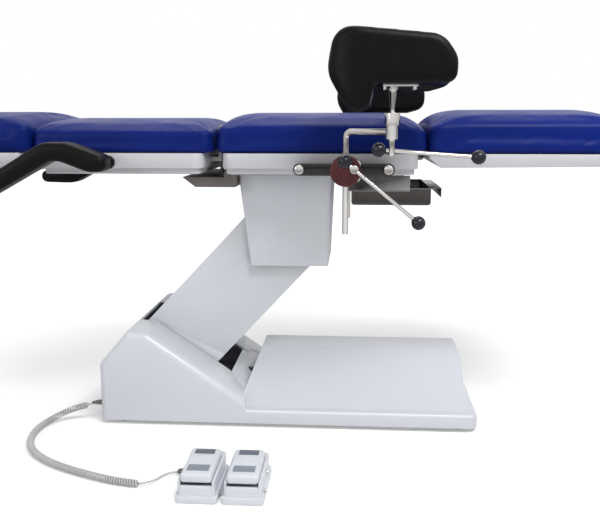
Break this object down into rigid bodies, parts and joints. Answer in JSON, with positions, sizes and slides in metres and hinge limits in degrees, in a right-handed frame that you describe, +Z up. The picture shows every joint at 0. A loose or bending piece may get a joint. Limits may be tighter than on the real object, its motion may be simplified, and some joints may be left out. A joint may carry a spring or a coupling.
{
  "type": "electric gynaecological examination table",
  "caption": "Electric examination table with padded sections, slanted lifting arm on a low base, sliding basin, padded knee crutches, armrests and a foot switch on a coiled cord.",
  "frame": {"origin": "on the floor under the middle of the base", "axes": "+X along the table towards the leg end, +Y across it towards the patient's left, +Z up"},
  "size_m": [1.88, 1.268, 1.0798],
  "materials": {
    "blue_vinyl": "gloss",
    "white_moulding": "satin",
    "painted_steel": "satin",
    "bracket_paint": "satin",
    "bright_steel": "polished",
    "stainless": "brushed",
    "chrome": "polished",
    "black_foam": "satin",
    "maroon_disc": "gloss",
    "dark_plastic": "matte",
    "grey_cord": "satin"
  },
  "bodies": {
    "base": {"base_cover": "white_moulding", "base_frame": "painted_steel", "levelling_feet": "dark_plastic", "lift_motor": "dark_plastic", "mains_inlet": "dark_plastic", "switch_housings": "white_moulding", "switch_gland": "dark_plastic", "cord_base_end": "grey_cord", "cord_coil": "grey_cord", "cord_switch_end": "grey_cord"},
    "arm": {"arm_cover": "white_moulding", "lift_arm": "painted_steel", "arm_shafts": "bright_steel"},
    "column": {"column_cover": "white_moulding", "column_frame": "painted_steel", "seat_frame": "painted_steel", "hinge_bracket": "bracket_paint", "seat_shell": "white_moulding", "seat_cushion": "blue_vinyl", "side_rails": "stainless", "rail_bolts": "bright_steel", "basin_runners": "stainless", "hinge_leaves": "bright_steel"},
    "link": {"levelling_link": "painted_steel"},
    "rod": {"lift_rod": "bright_steel"},
    "back": {"back_shell": "white_moulding", "back_cushion": "blue_vinyl", "back_ironwork": "bright_steel"},
    "head": {"head_shell": "white_moulding", "head_cushion": "blue_vinyl", "head_hinge": "bright_steel"},
    "leg": {"leg_shell": "white_moulding", "leg_cushion": "blue_vinyl", "hinge_knuckles": "bright_steel"},
    "tray": {"basin": "stainless", "basin_handle": "stainless"},
    "lift_pedal": {"lift_pedal": "white_moulding"},
    "back_pedal": {"back_pedal": "white_moulding"},
    "right_armrest": {"right_armrest": "black_foam"},
    "right_clamp": {"right_clamp": "chrome"},
    "right_hub": {"right_hub": "chrome", "right_disc": "maroon_disc"},
    "right_clamp_screw": {"right_clamp_screw": "chrome"},
    "right_clamp_bar": {"right_clamp_bar": "chrome"},
    "right_post": {"right_post": "chrome"},
    "right_joint_screw": {"right_joint_screw": "chrome"},
    "right_joint_bar": {"right_joint_bar": "chrome"},
    "right_crutch": {"right_stud": "chrome", "right_crutch_pad": "black_foam"},
    "left_armrest": {"left_armrest": "black_foam"},
    "left_clamp": {"left_clamp": "chrome"},
    "left_hub": {"left_hub": "chrome", "left_disc": "maroon_disc"},
    "left_clamp_screw": {"left_clamp_screw": "chrome"},
    "left_clamp_bar": {"left_clamp_bar": "chrome"},
    "left_post": {"left_post": "chrome"},
    "left_joint_screw": {"left_joint_screw": "chrome"},
    "left_joint_bar": {"left_joint_bar": "chrome"},
    "left_crutch": {"left_stud": "chrome", "left_crutch_pad": "black_foam"}
  },
  "joints": [
    {"name": "lift", "type": "hinge", "parent": "base", "child": "arm", "pos_m": [-0.358, 0, 0.177], "axis": [0, -1, 0], "range_deg": [-18, 14]},
    {"name": "column_level", "type": "hinge", "parent": "arm", "child": "column", "pos_m": [-0.01299, 0, 0.5444], "axis": [0, -1, 0], "range_deg": [-14.5, 18.5]},
    {"name": "link_swing", "type": "hinge", "parent": "base", "child": "link", "pos_m": [-0.298, 0, 0.127], "axis": [0, -1, 0], "range_deg": [-18.5, 14.5]},
    {"name": "rod_travel", "type": "slide", "parent": "base", "child": "rod", "axis": [1, 0, 0], "range_m": [-0.036, 0.028]},
    {"name": "back_tilt", "type": "hinge", "parent": "column", "child": "back", "pos_m": [-0.1965, 0, 0.845], "axis": [0, 1, 0], "range_deg": [0, 70]},
    {"name": "head_tilt", "type": "hinge", "parent": "back", "child": "head", "pos_m": [-0.6995, 0, 0.845], "axis": [0, 1, 0], "range_deg": [0, 30]},
    {"name": "leg_drop", "type": "hinge", "parent": "column", "child": "leg", "pos_m": [0.358, 0, 0.765], "axis": [0, 1, 0], "range_deg": [0, 16]},
    {"name": "basin_slide", "type": "slide", "parent": "column", "child": "tray", "axis": [1, 0, 0], "range_m": [-0.04, 0.12]},
    {"name": "right_armrest_swing", "type": "hinge", "parent": "back", "child": "right_armrest", "pos_m": [-0.479, -0.38, 0.752], "axis": [0, 1, 0], "range_deg": [-15, 45]},
    {"name": "right_clamp_slide", "type": "slide", "parent": "column", "child": "right_clamp", "axis": [1, 0, 0], "range_m": [-0.074, 0.063]},
    {"name": "right_hub_turn", "type": "hinge", "parent": "right_clamp", "child": "right_hub", "pos_m": [0.158, -0.365, 0.736], "axis": [0, 1, 0], "range_deg": [-20, 20]},
    {"name": "right_post_height", "type": "slide", "parent": "right_hub", "child": "right_post", "axis": [0, 0, 1], "range_m": [-0.02, 0.08]},
    {"name": "right_clamp_screw_turn", "type": "hinge", "parent": "right_hub", "child": "right_clamp_screw", "pos_m": [0.18, -0.4, 0.742], "axis": [0, 1, 0], "range_deg": [-35, 40]},
    {"name": "right_clamp_bar_slide", "type": "slide", "parent": "right_clamp_screw", "child": "right_clamp_bar", "axis": [0.7727, 0, -0.6347], "range_m": [-0.18, 0]},
    {"name": "right_joint_screw_turn", "type": "hinge", "parent": "right_post", "child": "right_joint_screw", "pos_m": [0.27, -0.458, 0.8], "axis": [0, 0, 1], "range_deg": [-30, 25]},
    {"name": "right_joint_bar_slide", "type": "slide", "parent": "right_joint_screw", "child": "right_joint_bar", "axis": [0.9976, 0, -0.0698], "range_m": [-0.174, 0]},
    {"name": "right_crutch_turn", "type": "hinge", "parent": "right_post", "child": "right_crutch", "pos_m": [0.27, -0.458, 0.867], "axis": [0, 0, 1], "range_deg": [-40, 40]},
    {"name": "left_armrest_swing", "type": "hinge", "parent": "back", "child": "left_armrest", "pos_m": [-0.479, 0.38, 0.752], "axis": [0, 1, 0], "range_deg": [-15, 45]},
    {"name": "left_clamp_slide", "type": "slide", "parent": "column", "child": "left_clamp", "axis": [1, 0, 0], "range_m": [-0.074, 0.063]},
    {"name": "left_hub_turn", "type": "hinge", "parent": "left_clamp", "child": "left_hub", "pos_m": [0.158, 0.365, 0.736], "axis": [0, 1, 0], "range_deg": [-20, 20]},
    {"name": "left_post_height", "type": "slide", "parent": "left_hub", "child": "left_post", "axis": [0, 0, 1], "range_m": [0, 0.125]},
    {"name": "left_clamp_screw_turn", "type": "hinge", "parent": "left_hub", "child": "left_clamp_screw", "pos_m": [0.18, 0.4, 0.742], "axis": [0, 1, 0], "range_deg": [-35, 40]},
    {"name": "left_clamp_bar_slide", "type": "slide", "parent": "left_clamp_screw", "child": "left_clamp_bar", "axis": [0.7727, 0, -0.6347], "range_m": [-0.18, 0]},
    {"name": "left_joint_screw_turn", "type": "hinge", "parent": "left_post", "child": "left_joint_screw", "pos_m": [0.27, 0.458, 0.8], "axis": [0, 0, 1], "range_deg": [-25, 30]},
    {"name": "left_joint_bar_slide", "type": "slide", "parent": "left_joint_screw", "child": "left_joint_bar", "axis": [0.9976, 0, -0.0698], "range_m": [-0.174, 0]},
    {"name": "left_crutch_turn", "type": "hinge", "parent": "left_post", "child": "left_crutch", "pos_m": [0.27, 0.458, 0.822], "axis": [0, 0, 1], "range_deg": [-40, 40]},
    {"name": "lift_pedal_press", "type": "hinge", "parent": "base", "child": "lift_pedal", "pos_m": [-0.172, -0.586, 0.034], "axis": [1, 0, 0], "range_deg": [0, 1.9], "stiffness_Nm_per_rad": 40, "springref_deg": -5.73},
    {"name": "back_pedal_press", "type": "hinge", "parent": "base", "child": "back_pedal", "pos_m": [-0.065, -0.586, 0.034], "axis": [1, 0, 0], "range_deg": [0, 1.9], "stiffness_Nm_per_rad": 40, "springref_deg": -5.73}
  ],
  "couplings": [
    {"joint": "column_level", "follows": "lift", "ratio": -1},
    {"joint": "link_swing", "follows": "lift", "ratio": 1},
    {"joint": "rod_travel", "follows": "lift", "m_per_rad": 0.11}
  ]
}
